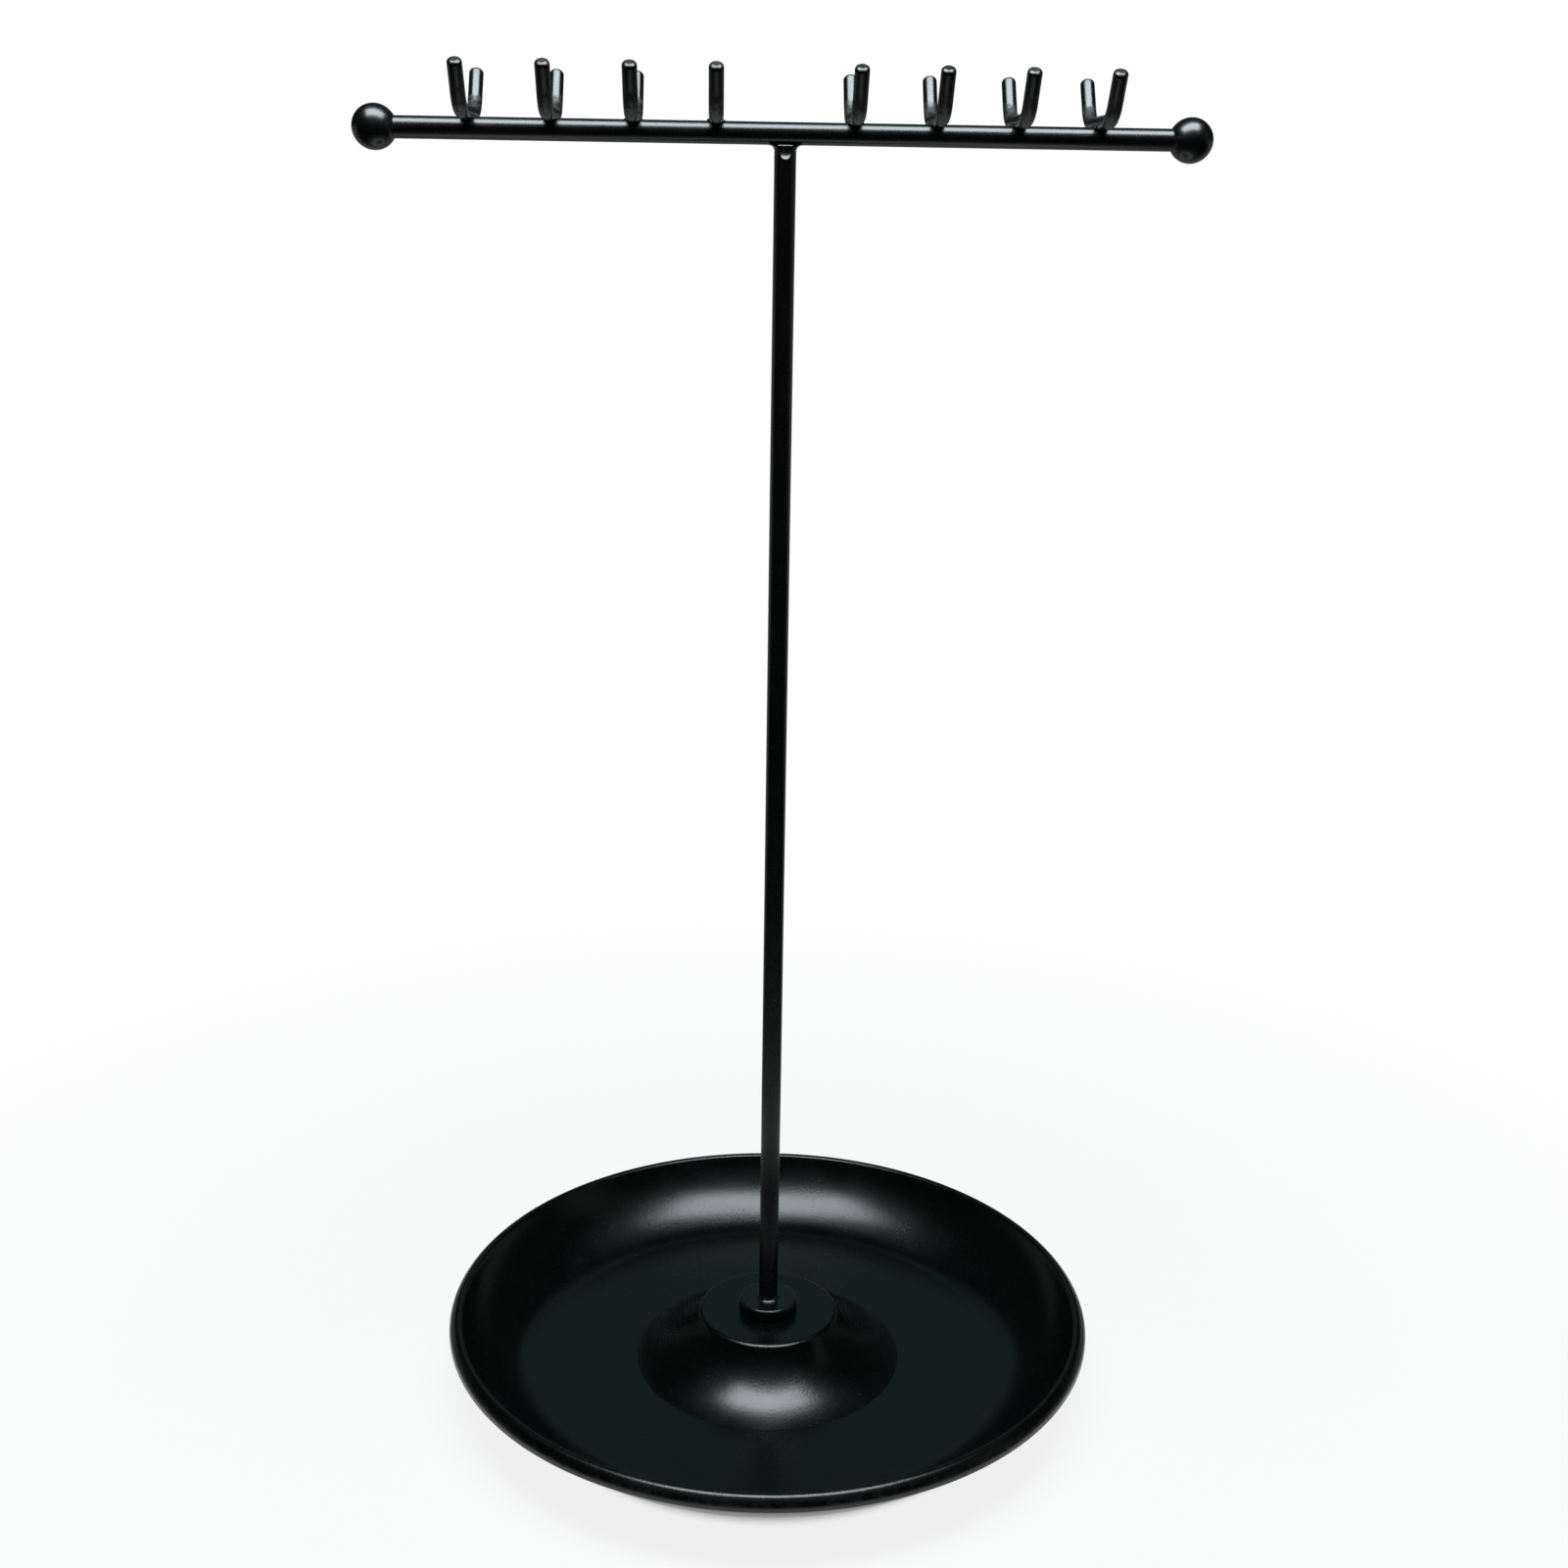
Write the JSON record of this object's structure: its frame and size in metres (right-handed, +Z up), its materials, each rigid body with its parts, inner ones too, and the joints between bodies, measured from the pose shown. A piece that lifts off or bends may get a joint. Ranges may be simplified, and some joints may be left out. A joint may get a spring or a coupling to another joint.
{
  "type": "jewelry organizer",
  "caption": "Free-standing T-bar jewellery stand: a slim post on a round dish with a raised centre carries a crossbar with bent-wire cradles and ball ends, clamped by a nut below.",
  "frame": {"origin": "on the table, under the post's axis, which is the middle of the box that holds the stand", "axes": "+Z up along the post, X along the crossbar, -Y towards the viewer of the picture"},
  "size_m": [0.1168, 0.1022, 0.2],
  "materials": {
    "black_coat": "satin black powder coat with a fine grain",
    "soft_pad": "matt foam",
    "plated_steel": "bright zinc plate"
  },
  "bodies": {
    "base": {"dish": "black_coat", "base_pad": "soft_pad"},
    "mast": {"post": "black_coat", "collar": "black_coat", "collar_weld": "black_coat", "crossbar": "black_coat", "bar_weld": "black_coat", "ball_left": "black_coat", "ball_right": "black_coat", "hook_1": "black_coat", "hook_2": "black_coat", "hook_3": "black_coat", "hook_4": "black_coat", "hook_5": "black_coat", "hook_6": "black_coat", "hook_7": "black_coat", "hook_8": "black_coat", "hook_welds": "black_coat", "flat_washer": "plated_steel", "spring_washer": "plated_steel", "hex_nut": "plated_steel"}
  },
  "joints": [
    {"name": "mast_turn", "type": "hinge", "parent": "base", "child": "mast", "pos_m": [0, 0, 0.0105], "axis": [0, 0, 1], "continuous": true}
  ]
}
